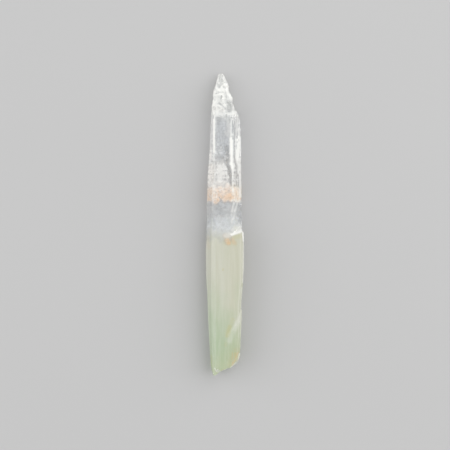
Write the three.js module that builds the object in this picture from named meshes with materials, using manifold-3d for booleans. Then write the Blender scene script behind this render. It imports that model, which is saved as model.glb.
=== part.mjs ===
// Slender quartz point: a long prism with four blocks grown parallel to it, a broken tip
// and a slanted broken base. It is one piece of mineral, so one solid.
//
// Millimetres. The crystal lies on one prism face: the table is z = 0, the long axis runs
// along +Y towards the tip, and the origin is at the middle of its footprint.

import * as THREE from 'three';
import { LoftGeometry } from 'three/addons/geometries/LoftGeometry.js';
import { mergeVertices } from 'three/addons/utils/BufferGeometryUtils.js';
import Module from 'manifold-3d';

// ---- driving dimensions ------------------------------------------------------------------

const PRISM_ANGLE = THREE.MathUtils.degToRad( 60 ); // upper side faces, from the table
const BEVEL_ANGLE = THREE.MathUtils.degToRad( 28 ); // narrow face left of the upper face
const UNDERSIDE_SHARE = 0.52; // width of the face it rests on, as a share of the whole
const CUT_SIZE = 60; // edge of the blocks that cut flat breaks
const BALL_FINENESS = 2; // bands in a ball that cuts a shell-shaped break, for each mm

// The main prism, section by section from the base to the tip:
// y, left corner, bevel edge, left and right edge of the upper face, right corner, height.
const MAIN_PRISM = [
	[ - 62.0, - 5.3, - 4.6, - 3.4, 3.3, 4.9, 8.6 ],
	[ - 50.0, - 6.1, - 5.0, - 3.7, 3.4, 5.5, 9.4 ],
	[ - 38.0, - 6.75, - 5.3, - 3.85, 3.6, 6.1, 10.1 ],
	[ - 24.0, - 7.2, - 5.4, - 3.9, 3.7, 6.5, 10.5 ],
	[ - 10.0, - 7.35, - 5.4, - 3.9, 3.8, 6.7, 10.6 ],
	[ 0.0, - 7.3, - 5.2, - 3.7, 3.8, 6.8, 10.5 ],
	[ 17.5, - 6.95, - 4.8, - 3.5, 3.8, 6.55, 10.0 ],
	[ 29.5, - 6.2, - 4.6, - 3.5, 3.8, 6.5, 9.4 ],
	[ 41.5, - 5.65, - 4.6, - 3.5, 3.6, 6.1, 8.8 ],
	[ 50.0, - 5.0, - 4.2, - 3.2, 3.3, 5.6, 8.3 ],
	[ 62.0, - 4.0, - 3.4, - 2.6, 2.8, 4.8, 7.6 ],
];

// Blocks grown parallel to it. Each section is: y, left corner, left and right edge of the
// upper face, right corner, height at the left edge, height at the right edge, underside.
const RIGHT_BLOCK = [
	[ - 62.0, - 1.5, 0.9, 4.3, 5.2, 8.5, 8.9, 3.4 ],
	[ - 48.0, - 1.5, 0.9, 5.0, 6.1, 9.4, 9.9, 3.4 ],
	[ - 31.5, - 1.5, 1.0, 5.4, 6.5, 10.2, 10.7, 3.2 ],
	[ - 23.0, - 1.5, 1.0, 6.2, 7.2, 10.4, 11.0, 3.0 ],
	[ - 16.0, - 1.5, 1.0, 6.4, 7.56, 10.5, 11.1, 3.0 ],
	[ - 5.0, - 1.5, 1.0, 6.3, 7.5, 10.5, 11.1, 3.0 ],
	[ 6.0, - 1.5, 1.0, 6.2, 7.4, 10.4, 11.0, 3.0 ],
];
const CORNER_BLOCK = [
	[ - 62.0, - 2.0, - 0.2, 4.1, 5.0, 8.2, 9.5, 4.2 ],
	[ - 50.0, - 2.0, - 0.2, 5.0, 6.1, 9.2, 10.5, 4.2 ],
	[ - 34.0, - 2.0, - 0.2, 5.9, 6.8, 9.9, 11.2, 4.2 ],
	[ - 26.0, - 2.0, - 0.2, 5.9, 6.8, 10.2, 11.5, 4.2 ],
];
const LEFT_BLOCK = [
	[ - 26.4, - 7.3, - 5.7, - 3.0, - 2.0, 8.0, 8.0, 1.8 ],
	[ - 20.0, - 7.6, - 5.8, - 3.0, - 2.0, 8.3, 8.3, 1.3 ],
	[ - 10.0, - 7.64, - 5.9, - 3.0, - 2.0, 8.3, 8.3, 1.6 ],
	[ 2.0, - 7.25, - 5.4, - 3.0, - 2.0, 8.4, 8.4, 2.6 ],
];
const SIDE_BLOCK = [
	[ 5.0, 0.0, 1.0, 4.7, 5.7, 5.4, 5.4, 1.4 ],
	[ 14.0, 0.0, 1.0, 5.2, 6.3, 5.5, 5.5, 0.7 ],
	[ 27.0, 0.0, 1.0, 5.0, 6.2, 5.4, 5.4, 0.6 ],
	[ 38.0, 0.0, 1.0, 4.5, 5.5, 5.0, 5.0, 1.2 ],
];

// Flat ends and breaks: a point on the face, and the way it faces.
const RIGHT_BLOCK_ENDS = [
	[ [ 2.4, - 4.35, 10.9 ], [ - 0.44, 0.84, 0.33 ] ],
	[ [ 4.0, - 4.0, 10.9 ], [ - 0.27, 0.52, 0.81 ] ],
	[ [ 7.3, - 3.4, 9.4 ], [ 0.72, 0.62, 0.3 ] ],
];
const CORNER_BLOCK_ENDS = [
	[ [ 6.6, - 34.6, 10.8 ], [ - 0.5, 0.21, 0.84 ] ],
	[ [ 6.2, - 33.9, 10.6 ], [ 0.1, 0.96, 0.25 ] ],
];
const LEFT_BLOCK_ENDS = [
	[ [ - 7.4, - 25.4, 4.5 ], [ - 0.6, - 0.76, 0.25 ] ],
];
const SIDE_BLOCK_ENDS = [
	[ [ 6.0, 7.5, 3.5 ], [ 0.55, - 0.8, 0.25 ] ],
	[ [ 5.6, 35.0, 3.2 ], [ 0.5, 0.75, - 0.43 ] ],
];
const TIP_FACES = [
	[ [ 0.0, 42.6, 8.75 ], [ 0.04, 0.21, 0.977 ] ],
	[ [ 3.8, 47.6, 4.5 ], [ 0.946, 0.324, 0.12 ] ],
	[ [ - 0.2, 58.6, 4.0 ], [ 0.89, 0.45, 0.1 ] ],
	[ [ - 4.75, 50.6, 4.5 ], [ - 0.98, 0.17, 0.1 ] ],
	[ [ - 3.95, 54.8, 4.5 ], [ - 0.95, 0.3, 0.12 ] ],
	[ [ 0.0, 43.0, 0.0 ], [ 0.06, 0.16, - 0.985 ] ],
	[ [ - 1.5, 59.9, 4.0 ], [ - 0.05, 0.99, 0.1 ] ],
];
const BASE_FACES = [
	[ [ 5.9, - 52.6, 6.0 ], [ 0.86, - 0.5, 0.12 ] ],
	[ [ 2.2, - 56.9, 8.0 ], [ 0.5, - 0.85, 0.2 ] ],
	[ [ - 3.4, - 59.2, 6.0 ], [ 0.42, - 0.9, - 0.14 ] ],
	[ [ - 5.2, - 57.4, 5.0 ], [ - 0.93, - 0.36, - 0.08 ] ],
];

// Shell-shaped breaks: where each one is, the way it faces, the way it is drawn out, and
// its length that way, its width and its depth.
const TIP_BREAKS = [
	[ [ 2.7, 45.6, 8.0 ], [ 0.3, - 0.02, 0.95 ], [ - 0.5, 0.87, 0 ], [ 8.4, 4.4, 0.85 ] ],
	[ [ - 1.4, 44.8, 8.25 ], [ - 0.12, 0.3, 0.95 ], [ 0.9, - 0.4, 0 ], [ 7.6, 4.4, 0.45 ] ],
	[ [ - 3.6, 48.6, 7.2 ], [ - 0.45, 0.1, 0.9 ], [ 0.25, 0.97, 0 ], [ 8.2, 3.4, 0.5 ] ],
	[ [ - 0.7, 49.8, 7.15 ], [ 0.12, 0.22, 0.96 ], [ - 0.6, 0.8, 0 ], [ 7.0, 3.8, 0.5 ] ],
	[ [ 1.4, 51.6, 6.4 ], [ 0.6, 0.2, 0.78 ], [ - 0.33, 0.94, 0 ], [ 7.2, 3.0, 0.5 ] ],
	[ [ - 1.7, 54.6, 6.15 ], [ - 0.1, 0.3, 0.95 ], [ 0.3, 0.95, 0 ], [ 6.0, 3.0, 0.35 ] ],
	[ [ - 3.2, 56.4, 5.2 ], [ - 0.75, 0.3, 0.58 ], [ 0.35, 0.93, 0 ], [ 5.0, 2.2, 0.25 ] ],
	[ [ 3.7, 47.0, 4.8 ], [ 0.95, 0.3, 0.02 ], [ - 0.2, 0.4, 0.9 ], [ 9.0, 5.8, 0.72 ] ],
	[ [ 1.75, 53.2, 4.2 ], [ 0.95, 0.3, 0.02 ], [ - 0.2, 0.5, 0.85 ], [ 7.0, 4.0, 0.42 ] ],
	[ [ 0.5, 57.8, 4.0 ], [ 0.9, 0.4, 0.0 ], [ 0, 0.2, 0.98 ], [ 5.0, 2.4, 0.3 ] ],
	[ [ - 0.7, 59.6, 5.1 ], [ 0.3, 0.55, 0.78 ], [ 0.9, - 0.4, 0 ], [ 3.6, 2.4, 0.3 ] ],
	[ [ 2.4, 51.0, 2.2 ], [ 0.8, 0.25, - 0.55 ], [ - 0.3, 0.95, 0 ], [ 7.0, 3.6, 0.6 ] ],
	[ [ - 4.2, 50.6, 2.2 ], [ - 0.8, 0.15, - 0.55 ], [ 0.2, 0.98, 0 ], [ 7.6, 3.6, 0.5 ] ],
	[ [ - 0.4, 49.4, 1.0 ], [ 0.15, 0.1, - 0.98 ], [ 0.7, 0.7, 0 ], [ 8.0, 4.6, 0.7 ] ],
	[ [ - 1.9, 54.6, 1.8 ], [ - 0.15, 0.25, - 0.94 ], [ - 0.3, 0.95, 0 ], [ 6.0, 3.4, 0.5 ] ],
];
const BASE_BREAKS = [
	[ [ 3.9, - 55.4, 6.6 ], [ 0.7, - 0.66, 0.3 ], [ 0.6, 0.75, 0.1 ], [ 7.0, 4.4, 0.45 ] ],
	[ [ 0.4, - 57.9, 6.8 ], [ 0.3, - 0.93, 0.2 ], [ 0.9, 0.3, 0.2 ], [ 6.6, 5.0, 0.7 ] ],
	[ [ 0.8, - 57.6, 2.2 ], [ 0.3, - 0.8, - 0.5 ], [ 0.9, 0.4, - 0.1 ], [ 8.6, 5.0, 0.9 ] ],
	[ [ - 3.2, - 58.9, 8.4 ], [ 0.25, - 0.3, 0.92 ], [ 0.6, - 0.8, 0 ], [ 3.6, 2.2, 0.24 ] ],
	[ [ - 5.0, - 57.8, 3.2 ], [ - 0.7, - 0.5, - 0.5 ], [ 0.3, - 0.2, 0.9 ], [ 6.0, 3.6, 0.6 ] ],
];
const EDGE_CHIPS = [
	[ [ - 3.65, 12.0, 10.1 ], [ - 0.4, 0, 0.92 ], [ 0, 1, 0 ], [ 3.2, 1.4, 0.16 ] ],
	[ [ 3.8, 31.0, 9.3 ], [ 0.5, 0, 0.87 ], [ 0, 1, 0 ], [ 3.6, 1.7, 0.2 ] ],
	[ [ 6.75, 5.2, 5.4 ], [ 1, 0.1, 0.1 ], [ 0, 1, 0 ], [ 4.2, 2.4, 0.3 ] ],
	[ [ 3.5, - 14.0, 0.1 ], [ 0.6, 0.1, - 0.8 ], [ 0, 1, 0 ], [ 5.0, 2.0, 0.25 ] ],
	[ [ - 3.4, 21.0, 0.1 ], [ - 0.6, - 0.1, - 0.8 ], [ 0, 1, 0 ], [ 5.6, 2.0, 0.25 ] ],
	[ [ - 5.9, 36.0, 5.2 ], [ - 1, 0.1, 0.1 ], [ 0, 1, 0 ], [ 3.4, 1.8, 0.2 ] ],
];

// ---- solids ------------------------------------------------------------------------------

const wasm = await Module();
wasm.setup();

function toSolid( geometry ) {

	const bare = new THREE.BufferGeometry().copy( geometry );
	bare.deleteAttribute( 'normal' );
	bare.deleteAttribute( 'uv' );
	const merged = mergeVertices( bare );
	return new wasm.Manifold( new wasm.Mesh( {
		numProp: 3,
		vertProperties: new Float32Array( merged.attributes.position.array ),
		triVerts: new Uint32Array( merged.index.array ),
	} ) );

}

function toGeometry( solid ) {

	const mesh = solid.getMesh();
	const geometry = new THREE.BufferGeometry();
	geometry.setAttribute( 'position', new THREE.BufferAttribute( mesh.vertProperties, 3 ) );
	geometry.setIndex( new THREE.BufferAttribute( mesh.triVerts, 1 ) );
	return geometry;

}

// One outline across the prism, counter-clockwise as seen from the tip.
function outline( y, points ) {

	return points.map( ( [ x, z ] ) => new THREE.Vector3( x, y, z ) );

}

function loft( sections ) {

	return toSolid( new LoftGeometry( sections, { capStart: true, capEnd: true } ) );

}

// The main prism. Its upper side faces keep the true angle of quartz, so the corners'
// heights follow from how far they stand out.
function mainPrism() {

	const steep = Math.tan( PRISM_ANGLE );
	return loft( MAIN_PRISM.map( ( [ y, left, bevel, faceLeft, faceRight, right, height ] ) => {

		const bevelZ = height - ( faceLeft - bevel ) * Math.tan( BEVEL_ANGLE );
		const leftZ = bevelZ - ( bevel - left ) * steep;
		const rightZ = height - ( right - faceRight ) * steep;
		return outline( y, [
			[ left * UNDERSIDE_SHARE, 0 ],
			[ left, leftZ ],
			[ bevel, bevelZ ],
			[ faceLeft, height ],
			[ faceRight, height ],
			[ right, rightZ ],
			[ right * UNDERSIDE_SHARE, 0 ],
		] );

	} ) );

}

// A block grown parallel to the main prism, with the same angles.
function parallelBlock( rows ) {

	const steep = Math.tan( PRISM_ANGLE );
	return loft( rows.map( ( [ y, left, faceLeft, faceRight, right, topLeft, topRight, under ] ) => {

		const leftZ = topLeft - ( faceLeft - left ) * steep;
		const rightZ = topRight - ( right - faceRight ) * steep;
		return outline( y, [
			[ left + ( leftZ - under ) / steep, under ],
			[ left, leftZ ],
			[ faceLeft, topLeft ],
			[ faceRight, topRight ],
			[ right, rightZ ],
			[ right - ( rightZ - under ) / steep, under ],
		] );

	} ) );

}

// Everything in front of a flat face, as a block to cut away.
function aheadOf( [ at, facing ] ) {

	const block = new THREE.BoxGeometry( CUT_SIZE, CUT_SIZE, CUT_SIZE );
	block.translate( 0, 0, CUT_SIZE / 2 );
	const turn = new THREE.Quaternion().setFromUnitVectors(
		new THREE.Vector3( 0, 0, 1 ),
		new THREE.Vector3( ...facing ).normalize(),
	);
	block.applyQuaternion( turn );
	block.translate( ...at );
	return toSolid( block );

}

// A shell-shaped break, as the drawn-out ball whose cap it is.
function shellBreak( [ at, facing, along, [ length, width, depth ] ] ) {

	const radius = ( width * width / 4 + depth * depth ) / ( 2 * depth );
	const outward = new THREE.Vector3( ...facing ).normalize();
	const across = new THREE.Vector3( ...along ).cross( outward ).normalize();
	const lengthwise = new THREE.Vector3().crossVectors( outward, across );
	const ball = new THREE.IcosahedronGeometry( radius, Math.round( BALL_FINENESS * radius ) );
	ball.scale( length / width, 1, 1 );
	ball.translate( 0, 0, radius - depth );
	ball.applyMatrix4( new THREE.Matrix4().makeBasis( lengthwise, across.negate(), outward ) );
	ball.translate( ...at );
	return toSolid( ball );

}

function cutAll( solid, cutters ) {

	return cutters.reduce( ( rest, cutter ) => rest.subtract( cutter ), solid );

}

// ---- the crystal -------------------------------------------------------------------------

function crystalSolid() {

	const rightBlock = cutAll( parallelBlock( RIGHT_BLOCK ), RIGHT_BLOCK_ENDS.map( aheadOf ) );
	const cornerBlock = cutAll( parallelBlock( CORNER_BLOCK ), CORNER_BLOCK_ENDS.map( aheadOf ) );
	const leftBlock = cutAll( parallelBlock( LEFT_BLOCK ), LEFT_BLOCK_ENDS.map( aheadOf ) );
	const sideBlock = cutAll( parallelBlock( SIDE_BLOCK ), SIDE_BLOCK_ENDS.map( aheadOf ) );
	const blocks = [ rightBlock, cornerBlock, leftBlock, sideBlock ];
	const grown = blocks.reduce( ( whole, block ) => whole.add( block ), mainPrism() );
	const broken = cutAll( grown, [ ...TIP_FACES, ...BASE_FACES ].map( aheadOf ) );
	return cutAll( broken, [ ...TIP_BREAKS, ...BASE_BREAKS, ...EDGE_CHIPS ].map( shellBreak ) );

}

const quartz = new THREE.MeshStandardMaterial( {
	color: 0xdfe2d8,
	roughness: 0.18,
	metalness: 0,
} );

const crystal = new THREE.Mesh( toGeometry( crystalSolid() ), quartz );
crystal.name = 'quartz_crystal';

const group = new THREE.Group();
group.add( crystal );

export default group;
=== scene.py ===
"""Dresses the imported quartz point: worn faces, breaks, cloudiness, inner veils and stain.

Object coordinates are metres. Zones and marks are placed in millimetres: +Y points to the
tip, y = 0 is the middle of the crystal, and z = 0 is the surface that the crystal lies on.
"""

import math

import bmesh
import bpy
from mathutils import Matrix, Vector, kdtree, noise
from mathutils.bvhtree import BVHTree


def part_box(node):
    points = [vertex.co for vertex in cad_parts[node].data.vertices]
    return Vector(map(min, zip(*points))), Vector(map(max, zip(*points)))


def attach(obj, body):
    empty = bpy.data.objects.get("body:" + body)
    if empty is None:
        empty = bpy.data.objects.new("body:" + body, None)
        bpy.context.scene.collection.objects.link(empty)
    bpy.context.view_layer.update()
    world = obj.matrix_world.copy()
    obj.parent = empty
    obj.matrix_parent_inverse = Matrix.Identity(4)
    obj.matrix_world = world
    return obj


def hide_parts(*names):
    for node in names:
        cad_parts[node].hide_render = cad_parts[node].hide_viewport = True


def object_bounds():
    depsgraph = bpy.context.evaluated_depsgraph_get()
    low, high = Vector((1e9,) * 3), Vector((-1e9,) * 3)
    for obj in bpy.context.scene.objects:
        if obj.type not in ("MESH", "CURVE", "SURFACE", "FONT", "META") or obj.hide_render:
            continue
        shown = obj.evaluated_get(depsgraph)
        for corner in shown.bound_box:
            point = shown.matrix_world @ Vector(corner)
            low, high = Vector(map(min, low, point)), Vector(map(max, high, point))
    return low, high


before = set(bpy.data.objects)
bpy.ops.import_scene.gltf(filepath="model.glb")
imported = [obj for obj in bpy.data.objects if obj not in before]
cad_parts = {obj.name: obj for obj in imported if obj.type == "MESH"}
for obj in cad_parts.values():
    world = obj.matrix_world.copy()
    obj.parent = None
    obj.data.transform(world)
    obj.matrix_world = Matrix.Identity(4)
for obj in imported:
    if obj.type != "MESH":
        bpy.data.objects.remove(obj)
CAD_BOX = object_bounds()

bl_info = {
    "name": "Quartz Point",
    "version": (1, 0, 0),
    "blender": (4, 5, 0),
    "location": "View3D > Sidebar > Quartz",
    "description": "Builds the dressed quartz point around its packed solid, and its studio",
    "category": "Object",
}

NODE = "quartz_crystal"
BODY = "root"
MM = 0.001
TOUCH = 1e-7  # metres, closer than which two vertices are one
QUARTZ_IOR = 1.544

# Borders between the zones along the crystal.
TIP_BREAK = 42.8
VEILS_TOP = 29.5
STAIN_TOP = 16.0
STAIN_BOTTOM = 9.2
MILK_TOP = -3.0
GREEN_TOP = -22.0
GREEN_FULL = -50.0
BASE_BREAK = -47.0

# Heights between which the marks of the upper side fade in, and the share of cloud, frost and
# stain that the strongest clear mark takes away.
UPPER_SIDE = (3.0, 5.0)
CLEARING = 0.7

# The middle of a mark is at full strength, and it fades out at its reach (in half widths).
MARK_MIDDLE = 0.4
MARK_REACH = 1.7

# The milky inside narrows over this stretch, and ends at the upper of the two places. There
# it has drawn in by the depth, give or take the raggedness, towards a centre that droops.
TAPER = (MILK_TOP - 8.0, MILK_TOP + 7.0)
TAPER_DEPTH = 2.9
TAPER_RAGGED = 2.6
TAPER_DROOP = 1.5
HEART_STEP = 2.2  # spacing of its mesh rows, in rows of the crystal

# Angles between two faces: nearly flat, a ridge that wears, shown as sharp, and a fold.
FLAT = math.radians(12.0)
RIDGE = math.radians(22.0)
SHARP = math.radians(28.0)
FOLD = math.radians(100.0)

# Joining short edges may turn a face until this cosine is left, and takes so many rounds at
# most. Folds are smoothed in all of their rounds.
LEAST_COSINE = 0.5
JOIN_ROUNDS = 12
CRYSTAL_FOLD_ROUNDS = 6
HEART_FOLD_ROUNDS = 12

# How far from a ridge its wear reaches, and how white the bruises are, and the small faces
# that look along the crystal.
WORN_WIDTH = 0.45 * MM
BRUISE = 0.62
BRUISE_OF_MILK = 0.4  # share of the bruises' white that is left in the milky half
STEP_WHITE = 0.45

# Flecks: least and most tilt and size, how far they drift from their sheet, the sheet's
# distance to the surface, and its cells along a side.
FLECK_TILT = ((-0.5, -0.5, -3.14), (0.5, 0.5, 3.14))
FLECK_SPREAD = ((0.35, 0.25, 0.07), (1.3, 0.8, 0.16))
FLECK_DRIFT = 0.25 * MM
SHEET_MARGIN = 0.35 * MM
SHEET_CELLS = 28

# Colours that only the materials use.
PALE_BAND = (0.80, 0.80, 0.73)
STAINED_CRACK = (0.42, 0.30, 0.22)
GREY_PIT = (0.45, 0.45, 0.43)
CLEAR_QUARTZ = (0.985, 0.99, 0.99)
CLEAR_SHADOW = (0.90, 0.91, 0.91)
SCATTERING = (1.0, 0.95, 0.8)

PAPER_SHADE = 0.985

# The studio, in metres: place and size of the two lamps, the floor and the camera.
KEY_LAMP = ((0.56, 0.24, 0.52), (1.10, 1.10))
FILL_LAMP = ((-0.66, 0.05, 0.30), (0.70, 0.90))
FLOOR_SIZE = 4.0
FLOOR_HEIGHT = -0.02 * MM
CAMERA_Y = -0.2 * MM
SENSOR_WIDTH = 36.0  # mm
CLIP_START = 0.01
VIEW_LEVEL = 0.7  # share of the crystal's height at which the view width is measured

# White marks on the upper side, some of them painted highlights: the points along each, its half
# width and its strength.
WHITE_AND_HIGHLIGHT_MARKS = (
    # Ridges of the broken tip, white with frost and partly a painted highlight on their crests.
    (((-2.70, 59.4), (-3.10, 56.8), (-3.90, 53.4)), 0.22, 1.00),
    (((-0.60, 59.4), (-0.40, 57.4)), 0.20, 1.00),
    (((0.10, 57.0), (0.50, 54.9)), 0.36, 1.00),
    (((-4.00, 52.8), (-2.80, 53.2), (-1.20, 55.0), (-0.20, 55.9)), 0.30, 1.00),
    (((-3.50, 51.0), (-2.20, 51.7), (-0.60, 51.5)), 0.28, 1.00),
    (((-4.30, 53.6), (-4.45, 48.6)), 0.25, 1.00),
    (((0.90, 54.0), (1.40, 51.0), (2.60, 47.8)), 0.34, 0.95),
    (((-1.00, 50.4), (-0.80, 48.6), (0.50, 46.6)), 0.30, 1.00),
    (((-3.40, 49.6), (-3.20, 47.0)), 0.40, 0.90),
    (((-3.20, 44.8), (-0.80, 43.2)), 0.90, 0.80),
    (((0.20, 43.9), (2.60, 44.4), (3.50, 46.6)), 0.40, 0.85),
    # Painted highlights and reflections on the bevels and bright faces of the clear half.
    (((-4.35, 44.5), (-4.32, 25.4)), 0.56, 1.00),
    (((1.40, 42.6), (1.50, 36.6)), 0.90, 0.55),
    (((-4.30, 25.4), (-4.60, 10.0)), 0.60, 0.70),
    (((-5.50, 44.0), (-5.90, 24.8)), 0.34, 0.55),
    (((-5.50, 24.0), (-5.60, 16.0)), 1.15, 0.76),
    (((2.80, 43.0), (2.70, 34.5)), 0.90, 0.80),
    (((2.60, 34.0), (2.55, 24.2), (2.90, 22.5)), 0.86, 1.00),
    (((3.00, 22.8), (3.15, 15.6), (3.30, 12.0)), 0.42, 0.95),
    (((4.60, 43.6), (5.10, 38.2)), 1.20, 0.68),
    (((5.15, 37.8), (5.20, 35.6)), 1.20, 0.76),
    (((5.10, 34.2), (5.30, 26.0)), 1.50, 1.00),
    (((5.35, 26.0), (5.55, 21.0)), 1.20, 0.88),
    (((4.60, 21.0), (4.50, 18.8)), 0.40, 0.50),
    (((5.90, 21.0), (6.05, 11.0)), 0.42, 0.90),
    # Veils.
    (((-2.00, 22.8), (-1.90, 18.0)), 1.50, 0.78),
    (((-1.20, 20.2), (0.80, 18.8)), 1.10, 0.74),
    (((3.90, 19.6), (4.60, 16.6)), 0.90, 0.56),
    (((-2.80, 31.9), (-2.75, 31.6)), 0.22, 0.85),
    (((-2.10, 31.0), (-2.05, 30.8)), 0.18, 0.70),
    (((-1.60, 30.7), (-1.45, 30.3)), 0.24, 0.85),
    (((-2.70, 30.4), (-2.60, 30.3)), 0.18, 0.60),
    (((-0.90, 31.3), (-0.85, 30.9)), 0.16, 0.55),
    (((-2.50, 29.4), (-1.00, 29.5)), 0.22, 0.70),
    (((-2.80, 33.4), (-1.60, 32.9), (-0.60, 33.2)), 0.24, 0.50),
    (((-3.20, 28.2), (-3.10, 26.0)), 0.40, 0.52),
    (((-1.90, 28.4), (-1.85, 26.2)), 0.22, 0.56),
    (((0.00, 36.6), (0.90, 35.2)), 0.46, 0.52),
    (((-4.80, 15.6), (-3.60, 14.6), (-2.00, 15.2), (-0.60, 14.2)), 0.26, 0.62),
    (((-4.20, 13.7), (-2.80, 13.2), (-1.40, 13.9), (-0.20, 13.3)), 0.22, 0.55),
    (((-5.20, 12.6), (-3.80, 12.2), (-2.60, 12.6)), 0.22, 0.50),
    (((4.40, 15.0), (4.80, 10.4)), 1.30, 0.58),
    (((-3.20, 16.3), (0.80, 16.0)), 1.00, 0.72),
    # The forked streak under the stain.
    (((3.40, 9.4), (5.80, 9.3)), 0.80, 0.78),
    (((3.80, 9.2), (3.10, 7.2), (2.80, 5.2)), 0.50, 0.66),
    (((2.80, 5.2), (2.65, 3.2)), 0.40, 0.50),
    (((5.20, 9.0), (4.50, 6.8), (4.00, 5.2)), 0.52, 0.70),
    (((4.00, 5.2), (3.10, 2.2), (2.60, 0.8)), 0.46, 0.58),
    # Painted highlights on the ledge and down the right edge below it.
    (((2.60, -3.95), (4.40, -3.30), (6.40, -2.60)), 0.55, 1.00),
    (((3.80, -3.20), (6.10, -2.05)), 0.65, 1.00),
    (((4.60, -2.50), (6.00, -1.20)), 0.60, 1.00),
    (((3.40, -2.20), (5.40, -0.40)), 1.00, 0.58),
    (((5.20, -2.10), (6.20, -2.30)), 0.80, 1.00),
    (((0.50, -4.3), (1.90, -4.0)), 0.95, 0.62),
    (((7.10, -3.2), (7.35, -6.6)), 0.36, 1.00),
    (((7.35, -6.6), (7.20, -23.0)), 0.32, 0.50),
    (((6.55, -25.0), (6.30, -49.0)), 0.30, 0.30),
    # The base: a painted highlight on the lighter corner facet, a white flake, and painted highlights
    # along its outline and down the left edge.
    (((6.80, -34.3), (5.60, -37.8), (3.70, -41.4)), 0.95, 0.28),
    (((3.70, -41.4), (2.30, -44.6), (1.80, -46.0)), 0.90, 0.20),
    (((-4.15, -56.8), (-3.40, -58.1)), 0.15, 0.80),
    (((-3.40, -58.1), (-2.80, -57.4)), 0.15, 0.65),
    (((5.80, -51.0), (4.80, -54.8), (2.40, -56.4)), 0.24, 0.60),
    (((-7.20, -5.0), (-7.10, -24.0), (-6.20, -50.0)), 0.28, 0.22),
)

# Places on the upper side where the crystal is clearer than around them.
CLEAR_MARKS = (
    (((-1.60, 59.0), (-1.60, 56.0)), 0.75, 0.50),
    (((-2.60, 55.6), (-2.20, 54.4)), 0.50, 0.36),
    (((-0.60, 54.6), (0.10, 54.2)), 0.38, 0.36),
    (((-3.60, 51.9), (-2.20, 52.4), (-0.80, 52.3)), 0.26, 0.36),
    (((0.20, 52.0), (0.70, 49.8)), 0.55, 0.34),
    (((-2.60, 48.0), (-1.40, 47.4), (0.10, 45.9)), 0.34, 0.50),
    (((-2.50, 50.4), (-2.20, 48.8)), 0.80, 0.30),
    (((-2.52, 50.8), (-2.58, 50.4)), 0.18, 0.45),
    (((-1.35, 51.0), (-1.80, 49.5)), 0.22, 0.85),
    (((-2.40, 48.3), (-2.30, 47.8)), 0.25, 0.70),
    (((1.60, 48.4), (2.00, 45.6)), 1.00, 0.80),
    (((-2.60, 41.6), (-2.70, 40.6)), 0.70, 0.50),
    (((3.75, 38.0), (3.78, 27.0), (3.95, 24.6), (4.40, 22.6)), 0.22, 0.80),
    (((-5.05, 43.0), (-5.15, 25.5)), 0.26, 0.12),
    (((-4.60, 4.6), (-4.70, -1.0)), 0.80, 0.28),
    (((0.70, 30.4), (0.90, 24.8)), 0.95, 0.80),
    (((-0.20, 25.2), (1.50, 22.9), (2.10, 20.4)), 0.66, 0.86),
    (((2.10, 19.6), (2.30, 16.2)), 0.50, 0.44),
    (((-5.50, 25.0), (-2.00, 25.0)), 0.40, 0.55),
    (((-3.10, 26.4), (-0.90, 25.8)), 1.30, 0.60),
    (((-2.60, 30.2), (-1.00, 29.8)), 1.00, 0.26),
    (((4.40, 23.6), (4.60, 20.6)), 0.60, 0.40),
    (((4.80, 18.6), (4.90, 15.4)), 0.46, 0.26),
    (((-5.70, 7.4), (-5.80, 4.0)), 1.30, 0.22),
    (((5.60, 7.6), (5.60, 2.0)), 0.90, 0.30),
    (((-3.00, 7.4), (-2.40, 5.0)), 1.10, 0.32),
    (((-3.40, -57.3), (-3.30, -57.2)), 0.22, 0.45),
)

# Orange iron stain, and ochre, on the upper side.
STAIN_MARKS = (
    (((0.90, -6.2), (1.40, -7.2)), 0.90, 0.62),
    (((2.90, -6.2), (3.70, -7.2)), 0.80, 0.32),
    (((0.20, -4.5), (1.70, -4.7)), 1.00, 0.26),
    (((-4.50, 47.6), (-4.50, 44.8)), 0.36, 0.24),
    (((-3.60, 45.9), (-1.20, 45.5)), 0.90, 0.14),
    (((4.40, 43.4), (5.20, 36.0)), 1.20, 0.08),
    (((-5.60, 30.0), (-5.70, 26.0)), 0.40, 0.20),
    (((-5.40, 23.0), (-5.60, 16.0)), 1.30, 0.34),
    (((-3.00, 16.4), (0.60, 16.2)), 0.90, 0.24),
    (((0.60, 10.8), (1.70, 11.6), (2.30, 10.4)), 1.40, 0.70),
    (((1.00, 15.6), (2.10, 14.2), (2.30, 12.0)), 1.00, 0.56),
    (((-4.60, 10.4), (-3.60, 8.9), (-3.00, 9.6)), 1.00, 0.66),
    (((-5.60, 13.6), (-4.60, 11.8)), 1.40, 0.74),
    (((4.10, 13.4), (4.90, 10.4)), 1.40, 0.95),
    (((3.60, 9.8), (5.60, 9.7)), 0.70, 0.50),
    (((-7.00, -5.0), (-6.60, -9.0)), 0.80, 0.10),
    (((4.60, -50.5), (2.60, -55.5)), 1.50, 0.12),
    (((5.20, -50.6), (2.90, -55.6)), 0.26, 0.55),
    (((3.00, -50.6), (2.80, -54.8)), 0.22, 0.36),
    (((6.00, -51.2), (4.60, -54.6)), 0.22, 0.36),
)
OCHRE_MARKS = (
    (((-0.80, -17.5), (-0.80, -18.0)), 0.25, 0.55),
    (((2.00, -40.4), (1.60, -41.6), (1.00, -43.8)), 0.90, 0.42),
    (((3.00, -37.5), (2.60, -39.6)), 0.90, 0.22),
    (((3.30, -4.9), (6.00, -4.7)), 0.90, 0.30),
    (((0.50, -6.8), (3.80, -7.4)), 1.20, 0.25),
    (((0.40, -46.5), (0.30, -48.0)), 0.60, 0.18),
    (((-1.60, -57.8), (0.00, -57.0)), 0.35, 0.35),
    (((4.20, -51.0), (4.60, -54.0)), 0.80, 0.40),
    (((4.20, 14.6), (4.60, 10.2)), 1.30, 0.36),
    (((-5.40, -52.0), (-5.10, -56.0)), 0.35, 0.20),
)

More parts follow.
